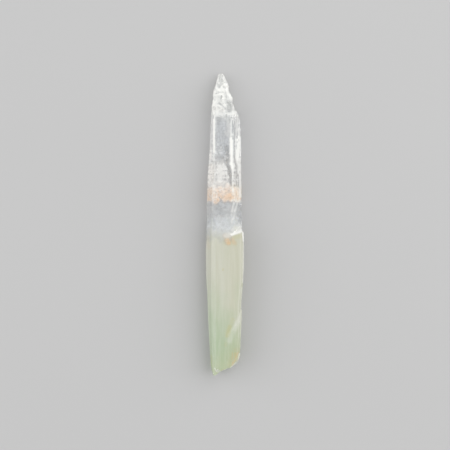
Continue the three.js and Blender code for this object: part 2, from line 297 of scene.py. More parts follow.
# Sheets of flecks inside the crystal. A row holds the sheet's centre, half width and half
# length, how far it waves, the flecks on a square millimetre, their size, how much of the sheet
# is left bare, and the flecks' frost and stain.
FLECK_SHEETS = (
    # A loose veil through the clear half, an upright one on its right, and a dense patch.
    ((0.0, 20.0, 6.2), (5.6, 0.0, 0.5), (0.6, 5.8, -0.6), 0.9, 5.5, 0.20, 0.40, 0.95, 0.00),
    ((2.6, 27.0, 5.4), (0.3, 0.0, 3.4), (-0.1, 11.5, 0.0), 0.5, 6.0, 0.20, 0.25, 1.00, 0.00),
    ((-2.0, 19.6, 7.4), (2.0, 0.0, 0.3), (0.0, 3.8, -0.3), 0.6, 9.0, 0.22, 0.25, 0.90, 0.05),
    # The stained crack across the crystal.
    ((0.0, 12.6, 5.0), (7.0, 0.0, 0.0), (0.4, -1.9, 4.6), 0.6, 9.0, 0.24, 0.12, 0.20, 0.85),
    # Cracks under the broken tip.
    ((-0.5, 43.6, 5.2), (4.6, 0.0, 0.3), (0.0, -1.6, 3.4), 0.8, 7.0, 0.22, 0.30, 1.00, 0.00),
)


# ---- sizes and colours -------------------------------------------------------------------


class QuartzSizes(bpy.types.PropertyGroup):
    row_step: bpy.props.FloatProperty(
        name="Row step",
        description="Spacing of the mesh rows along the crystal",
        default=0.32 * MM,
        unit="LENGTH",
    )
    column_step: bpy.props.FloatProperty(
        name="Column step",
        description="Spacing of the mesh columns across the crystal",
        default=0.32 * MM,
        unit="LENGTH",
    )
    join_distance: bpy.props.FloatProperty(
        name="Join distance",
        description="Vertices closer than this are joined before the relief is raised",
        default=0.12 * MM,
        unit="LENGTH",
    )
    growth_line_depth: bpy.props.FloatProperty(
        name="Growth line depth",
        description="Depth of the fine lines that run across the prism faces",
        default=0.035 * MM,
        unit="LENGTH",
    )
    face_swell: bpy.props.FloatProperty(
        name="Face swell",
        description="How far the faces wander from flat",
        default=0.05 * MM,
        unit="LENGTH",
    )
    break_relief: bpy.props.FloatProperty(
        name="Break relief",
        description="Depth of the ripples and ridges on the broken ends",
        default=0.30 * MM,
        unit="LENGTH",
    )
    edge_wear: bpy.props.FloatProperty(
        name="Edge wear",
        description="How far the worn edges are nibbled back at most",
        default=0.16 * MM,
        unit="LENGTH",
    )
    skin: bpy.props.FloatProperty(
        name="Clear skin",
        description="Thickness of the clear quartz over the milky inside",
        default=0.45 * MM,
        unit="LENGTH",
    )


class QuartzColours(bpy.types.PropertyGroup):
    # Also the colour of the painted highlights.
    frost_and_highlight: bpy.props.FloatVectorProperty(
        name="Frost_and_highlight",
        description="Broken and bruised quartz",
        subtype="COLOR",
        default=(0.97, 0.97, 0.93),
    )
    haze: bpy.props.FloatVectorProperty(
        name="Haze",
        description="Thin grey cloud in the clear half",
        subtype="COLOR",
        default=(0.775, 0.80, 0.83),
    )
    milk: bpy.props.FloatVectorProperty(
        name="Milk",
        description="Cloudy body of the lower half",
        subtype="COLOR",
        default=(0.655, 0.66, 0.54),
    )
    green: bpy.props.FloatVectorProperty(
        name="Green",
        description="Pale green body of the base",
        subtype="COLOR",
        default=(0.49, 0.595, 0.40),
    )
    stain: bpy.props.FloatVectorProperty(
        name="Iron stain",
        description="Strongest colour of the iron stain",
        subtype="COLOR",
        default=(0.82, 0.52, 0.27),
    )
    ochre: bpy.props.FloatVectorProperty(
        name="Ochre",
        description="Yellow patches in the base",
        subtype="COLOR",
        default=(0.62, 0.56, 0.22),
    )


class QuartzStudio(bpy.types.PropertyGroup):
    lens: bpy.props.FloatProperty(
        name="Lens",
        description="Focal length of the camera, in mm",
        default=180.0,
    )
    view_width: bpy.props.FloatProperty(
        name="View width",
        description="Width of the picture at the crystal",
        default=178.2 * MM,
        unit="LENGTH",
    )
    floor: bpy.props.FloatVectorProperty(
        name="Floor",
        description="Colour of the pale floor",
        subtype="COLOR",
        default=(0.55, 0.55, 0.55),
    )
    sky: bpy.props.FloatProperty(
        name="Sky",
        description="Strength of the light from all round",
        default=0.71,
    )
    key: bpy.props.FloatProperty(
        name="Key",
        description="Power of the large soft light on the right",
        default=3.8,
        unit="POWER",
    )
    fill: bpy.props.FloatProperty(
        name="Fill",
        description="Power of the weaker soft light on the left",
        default=1.8,
        unit="POWER",
    )


# ---- node helpers ------------------------------------------------------------------------


class Wiring:
    """Adds nodes to one tree. A socket is given a value, or another node's output."""

    def __init__(self, tree):
        self.tree = tree

    def add(self, kind, sockets=None, **settings):
        node = self.tree.nodes.new(kind)
        for name, value in settings.items():
            setattr(node, name, value)
        for key, value in (sockets or {}).items():
            self.feed(node.inputs[key], value)
        return node

    def feed(self, socket, value):
        if isinstance(value, bpy.types.NodeSocket):
            self.tree.links.new(value, socket)
        elif socket.type == "RGBA" and len(value) == 3:
            socket.default_value = (*value, 1.0)
        else:
            socket.default_value = value

    def math(self, operation, *values, clamp=False):
        node = self.add("ShaderNodeMath", operation=operation, use_clamp=clamp)
        for socket, value in zip(node.inputs, values):
            self.feed(socket, value)
        return node.outputs[0]

    def step(self, value, low, high, bottom=0.0, top=1.0):
        """Runs smoothly from bottom to top as value goes from low to high."""
        sockets = {"Value": value, "From Min": low, "From Max": high}
        sockets.update({"To Min": bottom, "To Max": top})
        node = self.add("ShaderNodeMapRange", sockets, interpolation_type="SMOOTHSTEP")
        return node.outputs["Result"]

    def blend(self, factor, first, second):
        """The first colour where the factor is zero, and the second where it is one."""
        node = self.add("ShaderNodeMix", data_type="RGBA")
        for name, value in (("Factor", factor), ("A", first), ("B", second)):
            socket = [s for s in node.inputs if s.name == name and s.enabled][0]
            self.feed(socket, value)
        return [s for s in node.outputs if s.enabled][0]

    def noise(self, vector, scale, detail=3.0, roughness=0.55, distortion=0.0):
        sockets = {"Vector": vector, "Scale": scale, "Detail": detail}
        sockets.update({"Roughness": roughness, "Distortion": distortion})
        return self.add("ShaderNodeTexNoise", sockets).outputs[0]

    def stretch(self, vector, factors):
        sockets = {"Vector": vector, "Scale": factors}
        return self.add("ShaderNodeMapping", sockets).outputs["Vector"]

    def painted(self, name):
        """A mask painted on the vertices."""
        return self.add("ShaderNodeAttribute", attribute_name=name).outputs["Fac"]


def new_group(name, inputs, outputs):
    """An empty shader node group with named sockets: its wiring, input and output nodes."""
    tree = bpy.data.node_groups.new(name, "ShaderNodeTree")
    for label, kind, default in inputs:
        socket = tree.interface.new_socket(label, in_out="INPUT", socket_type=kind)
        if default is not None:
            socket.default_value = default
    for label, kind in outputs:
        tree.interface.new_socket(label, in_out="OUTPUT", socket_type=kind)
    wiring = Wiring(tree)
    return wiring, wiring.add("NodeGroupInput"), wiring.add("NodeGroupOutput")


def new_material(name):
    """An empty node material: the material, its wiring, output and millimetre coordinates."""
    material = bpy.data.materials.new(name)
    material.use_nodes = True
    material.node_tree.nodes.clear()
    wiring = Wiring(material.node_tree)
    output = wiring.add("ShaderNodeOutputMaterial")
    place = wiring.add("ShaderNodeTexCoord").outputs["Object"]
    millimetres = wiring.stretch(place, (1 / MM, 1 / MM, 1 / MM))
    return material, wiring, output, millimetres


BODY_MASKS = ("Milk", "Green", "Stain", "Ochre", "Frost_and_highlight")


def quartz_body_group(colours):
    """Colour of cloudy quartz from its painted zones, with its grain, bands and tooth."""
    title = "Quartz body"
    if title in bpy.data.node_groups:
        return bpy.data.node_groups[title]
    number, vector = "NodeSocketFloat", "NodeSocketVector"
    inputs = [("Place", vector, None)]
    inputs += [(label, number, 0.0) for label in BODY_MASKS]
    outputs = [("Colour", "NodeSocketColor"), ("Height", number)]
    w, source, sink = new_group(title, inputs, outputs)
    place = source.outputs["Place"]
    milk, green, stain, ochre, frost_and_highlight = (source.outputs[label] for label in BODY_MASKS)

    mottle = w.noise(place, scale=0.75, detail=5.0, roughness=0.62, distortion=0.4)
    grain = w.noise(place, scale=3.6, detail=4.0, roughness=0.65)
    bands = w.noise(w.stretch(place, (0.9, 0.05, 0.9)), scale=1.0, roughness=0.6)
    cracks = w.stretch(place, (0.5, 1.9, 0.5))
    cracks = w.noise(cracks, scale=1.0, roughness=0.6, distortion=0.8)
    cracks = w.math("ABSOLUTE", w.math("SUBTRACT", cracks, 0.5))
    cracks = w.step(cracks, 0.0, 0.035, bottom=0.55, top=0.0)

    body = w.blend(green, colours.milk[:], colours.green[:])
    body = w.blend(w.step(bands, 0.35, 0.68, bottom=0.0, top=0.26), body, PALE_BAND)
    body = w.blend(milk, colours.haze[:], body)
    patchy = w.step(mottle, 0.32, 0.60, bottom=0.65, top=1.0)
    body = w.blend(w.math("MULTIPLY", ochre, patchy), body, colours.ochre[:])
    body = w.blend(w.math("MULTIPLY", stain, patchy), body, colours.stain[:])
    body = w.blend(w.math("MULTIPLY", cracks, stain), body, STAINED_CRACK)
    white = w.math("MULTIPLY", frost_and_highlight, w.step(mottle, 0.30, 0.50, bottom=0.80, top=1.0))
    body = w.blend(white, body, colours.frost_and_highlight[:])
    body = w.blend(w.step(grain, 0.30, 0.60, bottom=0.05, top=0.0), body, GREY_PIT)
    w.feed(sink.inputs["Colour"], body)
    tooth = w.math("MULTIPLY", grain, w.math("MULTIPLY_ADD", frost_and_highlight, 0.8, 0.2))
    w.feed(sink.inputs["Height"], tooth)
    return w.tree


# ---- materials ---------------------------------------------------------------------------


def body_nodes(w, place, colours):
    """The quartz body group, fed from the masks painted on the piece."""
    group = w.add("ShaderNodeGroup", node_tree=quartz_body_group(colours))
    w.feed(group.inputs["Place"], place)
    for label in BODY_MASKS:
        w.feed(group.inputs[label], w.painted(label.lower()))
    return group.outputs


def tooth_normal(w, height, strength, depth):
    """The shading normal of the fine tooth of the surface."""
    sockets = {"Height": height, "Strength": strength, "Distance": depth}
    return w.add("ShaderNodeBump", sockets).outputs["Normal"]


def crystal_material(colours):
    """Clear quartz that turns cloudy, stained, frosty and white with painted highlights where it is
    painted so.
    """
    material, w, output, place = new_material("Quartz crystal")
    colour, height = body_nodes(w, place, colours)
    frost_and_highlight = w.painted("frost_and_highlight")
    lines = w.noise(w.stretch(place, (0.15, 2.4, 0.15)), scale=1.0, roughness=0.6)
    relief = w.math("ADD", height, w.math("MULTIPLY", lines, 0.6))
    normal = tooth_normal(w, relief, strength=0.25, depth=0.05 * MM)

    settled = w.math("MAXIMUM", w.math("MULTIPLY", w.painted("milk"), 2.5), frost_and_highlight)
    uneven = w.math("SUBTRACT", 1.0, settled, clamp=True)
    wisps = w.noise(place, scale=0.9, detail=5.0, roughness=0.65, distortion=0.6)
    wisps = w.step(wisps, 0.30, 0.68, bottom=-0.25, top=0.25)
    patches = w.math("MULTIPLY_ADD", uneven, wisps, 1.0)
    cloud = w.math("MULTIPLY", w.painted("cloud"), patches, clamp=True)

    glass = w.add(
        "ShaderNodeBsdfPrincipled",
        {
            "Base Color": CLEAR_QUARTZ,
            "Roughness": w.math("MULTIPLY_ADD", frost_and_highlight, 0.20, 0.05),
            "IOR": QUARTZ_IOR,
            "Transmission Weight": 1.0,
            "Normal": normal,
        },
    )
    clear = w.add("ShaderNodeBsdfTransparent", {"Color": CLEAR_SHADOW})
    lit = w.add("ShaderNodeMixShader")
    w.feed(lit.inputs[0], w.add("ShaderNodeLightPath").outputs["Is Shadow Ray"])
    w.feed(lit.inputs[1], glass.outputs[0])
    w.feed(lit.inputs[2], clear.outputs[0])
    milky = w.add(
        "ShaderNodeBsdfPrincipled",
        {
            "Base Color": colour,
            "Roughness": w.math("MULTIPLY_ADD", frost_and_highlight, 0.16, 0.22),
            "IOR": QUARTZ_IOR,
            "Normal": normal,
        },
    )
    mixed = w.add("ShaderNodeMixShader")
    w.feed(mixed.inputs[0], cloud)
    w.feed(mixed.inputs[1], lit.outputs[0])
    w.feed(mixed.inputs[2], milky.outputs[0])
    w.feed(output.inputs["Surface"], mixed.outputs[0])
    return material


def heart_material(colours, name, softness):
    """Soft cloudy quartz that lies inside the crystal."""
    material, w, output, place = new_material(name)
    colour, height = body_nodes(w, place, colours)
    milk = w.add(
        "ShaderNodeBsdfPrincipled",
        {
            "Base Color": colour,
            "Roughness": 0.6,
            "Subsurface Weight": softness,
            "Subsurface Radius": SCATTERING,
            "Subsurface Scale": 1.2 * MM,
            "Normal": tooth_normal(w, height, strength=0.2, depth=0.05 * MM),
        },
    )
    w.feed(output.inputs["Surface"], milk.outputs[0])
    return material


def floor_material(colour):
    """Plain pale paper."""
    material, w, output, place = new_material("Studio floor")
    shade = w.blend(w.noise(place, scale=0.02, detail=2.0), colour, [c * PAPER_SHADE for c in colour])
    paper = w.add("ShaderNodeBsdfPrincipled", {"Base Color": shade, "Roughness": 0.8})
    w.feed(output.inputs["Surface"], paper.outputs[0])
    return material


# ---- zones painted on the pieces ---------------------------------------------------------


def smooth(value, low, high):
    """Runs smoothly from zero at low to one at high, which may be the lower number."""
    share = min(1.0, max(0.0, (value - low) / (high - low)))
    return share * share * (3.0 - 2.0 * share)


def between(value, low, high, soft):
    """One between low and high, with soft ends."""
    return smooth(value, low - soft, low + soft) * smooth(value, high + soft, high - soft)


def marked(marks, x, y):
    """Strength of the strongest mark at a place."""
    best = 0.0
    for points, half, strength in marks:
        for (ax, ay), (bx, by) in zip(points, points[1:]):
            dx, dy = bx - ax, by - ay
            share = ((x - ax) * dx + (y - ay) * dy) / (dx * dx + dy * dy)
            share = min(1.0, max(0.0, share))
            gap = math.hypot(x - ax - share * dx, y - ay - share * dy)
            if gap < MARK_REACH * half:
                fade = smooth(gap, MARK_REACH * half, MARK_MIDDLE * half)
                best = max(best, strength * fade)
    return best


def wander(here):
    """A smooth push in all three directions, from noise at three places far apart."""
    return Vector([noise.noise(here + Vector((apart, 0.0, 0.0))) for apart in (17.0, 31.0, 53.0)])


def tip_ridges(here):
    """Curved ridges of the broken tip: about zero on average, one on a crest."""
    bent = here * 0.42 + 0.6 * wander(here * 0.3)
    rings = (here - Vector((-1.4, 50.0, 5.0))).length + 0.5 * noise.noise(here * 0.4)
    return 0.55 - 2.4 * abs(noise.noise(bent)) + 0.25 * math.sin(3.4 * rings)


def splinters(here):
    """Small flat chips of a rough break, each tilted its own way."""
    stretched = Vector((here.x, here.y * 0.7, here.z)) * 0.6
    middle = noise.voronoi(stretched)[1][0]
    return (stretched - middle).dot(noise.cell_vector(middle * 7.3) - Vector((0.5, 0.5, 0.5)))


class Spot:
    """A place in the crystal in millimetres, with the noise and marks that its zones share."""

    def __init__(self, point):
        self.here = point / MM
        self.x, self.y, self.z = x, y, z = self.here
        self.broad = noise.noise(self.here * 0.25 + Vector((3.0, 0.0, 0.0)))
        self.ragged = noise.fractal(self.here * 0.75, 0.8, 2.0, 4)
        self.veins = noise.fractal(Vector((x * 0.8, y * 0.6, z * 0.8 + 20.0)), 0.8, 2.0, 4)
        self.streaks = noise.fractal(Vector((x * 1.6, y * 0.16, z * 1.6 + 7.0)), 0.8, 2.0, 3)
        self.ladder = noise.noise(Vector((x * 0.15, y * 2.2, z * 0.15 + 30.0)))
        # The place along the crystal, shifted a little or far, so that borders run unevenly.
        self.loose = y + 1.5 * self.broad + 0.8 * self.ragged
        self.wide = y + 3.0 * self.broad + 1.2 * self.ragged
        self.left_face = smooth(x, -4.2, -5.2)
        self.clear = self.drawn(CLEAR_MARKS)

    def drawn(self, marks):
        """Strength of the marks at this place. They lie on the upper side alone."""
        return smooth(self.z, *UPPER_SIDE) * marked(marks, self.x + 0.14 * self.ragged, self.y)

    def cleared(self, value):
        """The value, less what the clear marks take from it."""
        return value * (1.0 - CLEARING * self.clear)


def milk_at(spot):
    """The cloudy body, which starts sharply under the ledge and thinly under the stain."""
    body = smooth(spot.wide, MILK_TOP + 5.0, MILK_TOP - 6.0)
    ledge = smooth(spot.x, 1.5, 3.0) * smooth(spot.y - 0.48 * spot.x, -5.2, -6.2)
    return max(body, ledge, 0.12 * smooth(spot.y, STAIN_BOTTOM, STAIN_BOTTOM - 3.0))


def green_at(spot):
    """The green of the base, which is faint further up on the right side."""
    base = smooth(spot.y + 1.1 * spot.x + 4.0 * spot.broad, GREEN_TOP, GREEN_FULL)
    return max(base, 0.22 * smooth(spot.x, 2.5, 5.0) * smooth(spot.y, -19.0, -26.0))


def stain_border(spot):
    """Lower end of the stain, which rises in one place."""
    return STAIN_BOTTOM + 1.2 * smooth(abs(spot.x + 1.8), 1.5, 0.2)


def stain_band(spot):
    """One in the stained band, zero outside it."""
    border = stain_border(spot)
    band = smooth(spot.loose, border - 0.9, border + 0.9)
    return band * smooth(spot.loose, STAIN_TOP + 1.6, STAIN_TOP - 2.4)


def stain_at(spot, band):
    """Iron stain: the band, its marks, and traces on the left face and in the veils."""
    stain = band * (0.48 + 0.18 * smooth(spot.veins, -0.35, 0.45))
    left = 0.10 * spot.left_face * smooth(spot.y, 0.0, 10.0)
    veils = 0.14 * between(spot.wide, STAIN_TOP, VEILS_TOP - 3.0, 2.0)
    edge = 0.16 * between(spot.loose, STAIN_TOP - 2.0, STAIN_TOP + 2.0, 1.5)
    return spot.cleared(max(stain, spot.drawn(STAIN_MARKS), left, veils, edge))


def ochre_at(spot, milk):
    """Yellow tint: faint on the right of the milk, its marks, and the lower end."""
    right = 0.08 * smooth(spot.x, -1.5, 3.5) * milk
    end = 0.16 * smooth(spot.y - 1.2 * spot.x, -44.0, -56.0)
    return max(right, spot.drawn(OCHRE_MARKS), end)


def veils_at(spot):
    """Patchy veils of the clear half."""
    patches = smooth(spot.veins + 0.5 * spot.ladder, -0.35, 0.4)
    return between(spot.wide, STAIN_TOP - 3.0, VEILS_TOP, 2.0) * patches


def frost_and_highlight_at(spot, veils):
    """White of the broken tip, of the marks and of the veils, with painted light: highlights on the
    tip's ridges and among the marks, shade between the ridges, and a rim light on the left face.
    """
    tip = smooth(spot.loose + 0.9 * spot.streaks, TIP_BREAK - 3.8, TIP_BREAK + 1.6)
    # The tip is whiter on its ridges and greyer between them: a painted highlight on the crests and
    # painted shade in the hollows.
    tip *= (
        0.68
        + 0.20 * smooth(tip_ridges(spot.here), -0.3, 0.3)
        + 0.10 * smooth(spot.y, 45.0, 49.0)
    )
    # Streaks break up the marks of the clear half.
    broken_up = smooth(spot.streaks + 0.5 * spot.ragged, -0.95, -0.15)
    white = spot.drawn(WHITE_AND_HIGHLIGHT_MARKS) * max(broken_up, smooth(spot.y, 1.0, 0.0))
    # Painted rim light: the left face of the clear half is made whiter.
    left = 0.42 * spot.left_face * smooth(spot.y, 10.0, 17.0)
    return max(tip, white, left, 0.45 * veils)


def cloud_at(spot, band, veils):
    """Haze of the clear half, the stained band, and the dull stretch below it."""
    haze = 0.44 + 0.12 * spot.streaks + 0.08 * spot.ladder + 0.34 * veils
    # The left face is made cloudier too, which lightens it as part of the same painted rim light.
    haze += 0.26 * spot.left_face * smooth(spot.y, 7.0, 11.0)
    border = stain_border(spot)
    dull = 0.46 + 0.06 * spot.veins + 0.22 * smooth(spot.y, 3.6, -1.4)
    return max(haze, 0.90 * band, dull * smooth(spot.loose, border + 1.0, border - 1.0))


def zones(point):
    """Cloud, milk, green, stain, ochre, and frost with its painted highlights, at a place in the
    crystal.
    """
    spot = Spot(point)
    band = stain_band(spot)
    veils = veils_at(spot)
    milk = milk_at(spot)
    stain = stain_at(spot, band)
    ochre = ochre_at(spot, milk)
    frost_and_highlight = frost_and_highlight_at(spot, veils)
    # What is milky, frosty, stained or ochre is cloudy too.
    cloud = max(cloud_at(spot, band, veils), 0.84 * milk, 0.95 * frost_and_highlight)
    cloud = max(cloud, min(0.88, 1.7 * stain), ochre)
    return spot.cleared(cloud), milk, green_at(spot), stain, ochre, spot.cleared(frost_and_highlight)


MASKS = ("cloud", "milk", "green", "stain", "ochre", "frost_and_highlight")


def paint(bm):
    """Writes the zone masks on every vertex."""
    layers = [bm.verts.layers.float.new(name) for name in MASKS]
    for vert in bm.verts:
        for layer, value in zip(layers, zones(vert.co)):
            vert[layer] = value


# ---- the crystal -------------------------------------------------------------------------


def merged_crystal():
    """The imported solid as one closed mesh."""
    bm = bmesh.new()
    bm.from_mesh(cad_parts[NODE].data)
    bmesh.ops.remove_doubles(bm, verts=bm.verts, dist=TOUCH)
    return bm


def slice_mesh(bm, axis, start, end, step):
    """Cuts the mesh into rows, so that its flat faces can carry fine relief."""
    normal = Vector((0.0, 0.0, 0.0))
    normal[axis] = 1.0
    for index in range(1, math.ceil((end - start) / step)):
        point = normal * (start + index * step)
        geometry = bm.verts[:] + bm.edges[:] + bm.faces[:]
        bmesh.ops.bisect_plane(bm, geom=geometry, plane_co=point, plane_no=normal, dist=TOUCH)


def on_steep_edges(bm, angle):
    """The vertices with an edge whose two faces meet at more than the angle."""
    return [v for v in bm.verts if any(e.calc_face_angle(0.0) > angle for e in v.link_edges)]


def can_join(moved, target):
    """Whether moving one end of an edge onto the other keeps the mesh whole and unfolded.

    The two ends of an edge of a closed triangle mesh share two neighbours.
    """
    rings = [{e.other_vert(v) for e in v.link_edges} for v in (moved, target)]
    if len(rings[0] & rings[1]) != 2:
        return False
    for face in moved.link_faces:
        if target not in face.verts:
            a, b, c = (target.co if v is moved else v.co for v in face.verts)
            if (b - a).cross(c - a).normalized().dot(face.normal) < LEAST_COSINE:
                return False
    return True


def join_slivers(bm, distance):
    """Closes the shortest edges of the mesh, and leaves its sharp edges where they are."""
    bmesh.ops.triangulate(bm, faces=bm.faces[:])
    for _ in range(JOIN_ROUNDS):
        bm.normal_update()
        bm.edges.index_update()
        kept = set(on_steep_edges(bm, FLAT))
        short = [(e.calc_length(), e.index, e) for e in bm.edges if e.calc_length() < distance]
        busy = set()
        joins = {}
        for _, _, edge in sorted(short, key=lambda row: row[:2]):
            moved, target = edge.verts
            if moved in kept:
                moved, target = target, moved
            if moved in kept and edge.calc_face_angle(0.0) < FLAT:
                continue
            around = {v for end in edge.verts for e in end.link_edges for v in e.verts}
            if busy.isdisjoint(around) and can_join(moved, target):
                busy |= around
                joins[moved] = target
        if not joins:
            break
        bmesh.ops.weld_verts(bm, targetmap=joins)
    bm.normal_update()


def smooth_folds(bm, rounds):
    """Evens out the few places where the relief has folded a face over its neighbour."""
    for _ in range(rounds):
        folded = on_steep_edges(bm, FOLD)
        axes = {"use_axis_x": True, "use_axis_y": True, "use_axis_z": True}
        bmesh.ops.smooth_vert(bm, verts=folded, factor=0.5, **axes)
        bm.normal_update()


def brokenness(point, outward):
    """One on the broken ends, zero on the grown faces, which hardly tilt along the crystal."""
    y = point.y / MM
    ends = max(smooth(y, TIP_BREAK - 1.0, TIP_BREAK + 1.0), smooth(y, BASE_BREAK, BASE_BREAK - 4.0))
    return ends * smooth(abs(outward.y), 0.06, 0.16)


def relief(point, broken, sizes):
    """How far a point of the surface stands out from its flat face, in metres."""
    x, y, z = point / MM
    here = Vector((x, y, z))
    swell = noise.noise(Vector((x, y * 0.35, z)) * 0.28)
    lines = noise.noise(Vector((x * 0.12, y * 1.3, z * 0.12)))
    lines += 0.5 * noise.noise(Vector((x * 0.2, y * 2.3, z * 0.2 + 9.0)))
    patch = smooth(noise.noise(Vector((x * 0.25, y * 0.09, z * 0.25 + 40.0))), -0.25, 0.35)
    hackle = noise.fractal(here * 1.1, 0.85, 2.1, 4)
    flat = sizes.face_swell * swell + sizes.growth_line_depth * lines * patch
    drawn = marked(WHITE_AND_HIGHLIGHT_MARKS, x, y) - marked(CLEAR_MARKS, x, y)
    rough = 0.5 * tip_ridges(here) + 0.3 * hackle + 0.8 * splinters(here)
    rough = (rough + 0.9 * smooth(z, *UPPER_SIDE) * drawn) * (1.0 - 0.6 * smooth(y, 54.5, 57.5))
    return flat * (1.0 - broken) + sizes.break_relief * rough * broken


def finish_piece(context, bm, name, material):
    """Turns the mesh under work into a triangulated piece that rides on the crystal's body."""
    bmesh.ops.triangulate(bm, faces=bm.faces[:])
    mesh = bpy.data.meshes.new(name)
    bm.to_mesh(mesh)
    bm.free()
    piece = bpy.data.objects.new(name, mesh)
    context.collection.objects.link(piece)
    mesh.materials.append(material)
    mesh.shade_smooth()
    mesh.set_sharp_from_angle(angle=SHARP)
    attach(piece, BODY)
    print(name, len(mesh.polygons), "triangles")
    return piece


def ridge_places(bm):
    """A search tree of the middles of the edges that stick out as ridges."""
    ridges = [e for e in bm.edges if e.is_manifold and e.calc_face_angle_signed(0.0) > RIDGE]
    tree = kdtree.KDTree(len(ridges))
    for index, edge in enumerate(ridges):
        tree.insert((edge.verts[0].co + edge.verts[1].co) / 2, index)
    tree.balance()
    return tree


def whiten(bm, vert, amount):
    """Makes a vertex at least this frosty and cloudy."""
    for name in ("frost_and_highlight", "cloud"):
        layer = bm.verts.layers.float[name]
        vert[layer] = max(vert[layer], amount)


def wear(point, distance, sizes):
    """How far the wear of a ridge goes in at this distance from it, and how white it is."""
    bite = noise.noise(point / MM * 0.9) * 0.5 + 0.5
    near = smooth(distance, WORN_WIDTH, 0.0)
    nibbled = sizes.edge_wear * near * (0.15 + 0.85 * bite * bite)
    bruised = BRUISE * near * (0.35 + 0.65 * bite)
    clear_half = smooth(point.y / MM, STAIN_BOTTOM - 1.0, STAIN_BOTTOM + 1.0)
    return nibbled, bruised * (BRUISE_OF_MILK + (1.0 - BRUISE_OF_MILK) * clear_half)


def make_crystal(context):
    """The crystal's surface: relief on the faces and breaks, worn ridges, and its masks."""
    sizes = context.scene.quartz_sizes
    bm = merged_crystal()
    low, high = (Vector(corner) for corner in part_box(NODE))
    slice_mesh(bm, 1, low.y, high.y, sizes.row_step)
    slice_mesh(bm, 2, low.z, high.z, sizes.column_step)
    slice_mesh(bm, 0, low.x, high.x, sizes.column_step)
    join_slivers(bm, sizes.join_distance)
    paint(bm)

    ridges = ridge_places(bm)
    shifts = []
    for vert in bm.verts:
        outward = vert.normal.copy()
        shift = relief(vert.co, brokenness(vert.co, outward), sizes)
        if vert.co.y < TIP_BREAK * MM:
            whiten(bm, vert, STEP_WHITE * smooth(abs(outward.y), 0.25, 0.6))
        distance = ridges.find(vert.co)[2]
        if distance < WORN_WIDTH:
            nibbled, bruised = wear(vert.co, distance, sizes)
            whiten(bm, vert, bruised)
            shift -= nibbled
        shifts.append(outward * shift)
    for vert, shift in zip(bm.verts, shifts):
        vert.co += shift
    smooth_folds(bm, CRYSTAL_FOLD_ROUNDS)
    for vert in bm.verts:
        vert.co.z = max(vert.co.z, low.z)

    material = crystal_material(context.scene.quartz_colours)
    piece = finish_piece(context, bm, "quartz_point", material)
    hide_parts(NODE)


def make_heart(context):
    """The milky inside, which thins out raggedly towards the clear half."""
    sizes = context.scene.quartz_sizes
    bm = merged_crystal()
    low, high = (Vector(corner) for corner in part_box(NODE))
    top = TAPER[1] * MM
    geometry = bm.verts[:] + bm.edges[:] + bm.faces[:]
    cut = {"plane_co": (0.0, top, 0.0), "plane_no": (0.0, 1.0, 0.0), "clear_outer": True}
    bmesh.ops.bisect_plane(bm, geom=geometry, dist=TOUCH, **cut)
    bmesh.ops.holes_fill(bm, edges=[e for e in bm.edges if e.is_boundary])
    step = HEART_STEP * sizes.row_step
    slice_mesh(bm, 1, low.y, top, step)
    slice_mesh(bm, 2, low.z, high.z, step)
    slice_mesh(bm, 0, low.x, high.x, step)
    join_slivers(bm, 2.0 * sizes.join_distance)

    for vert in bm.verts:
        here = vert.co / MM
        rough = noise.fractal(here * 0.5, 0.8, 2.0, 4)
        taper = smooth(here.y, *TAPER)
        depth = sizes.skin * (1.0 + 0.25 * rough)
        depth += taper * (TAPER_DEPTH + TAPER_RAGGED * rough) * MM
        centre = Vector((0.0, vert.co.y - TAPER_DROOP * MM * taper, 0.5 * high.z))
        inward = (centre - vert.co).normalized()
        vert.co += max(depth, sizes.skin) * (inward * taper - vert.normal * (1.0 - taper))
    smooth_folds(bm, HEART_FOLD_ROUNDS)

    # Nothing of it comes nearer to the surface than half the clear skin.
    shell = BVHTree.FromBMesh(merged_crystal())
    for vert in bm.verts:
        near, normal, _, _ = shell.find_nearest(vert.co)
        if (vert.co - near).dot(normal) > -0.5 * sizes.skin:
            vert.co = near - normal * 0.5 * sizes.skin
    paint(bm)
    material = heart_material(context.scene.quartz_colours, "Milky inside", 1.0)
    finish_piece(context, bm, "milky_inside", material)


# ---- flecks inside the clear half --------------------------------------------------------


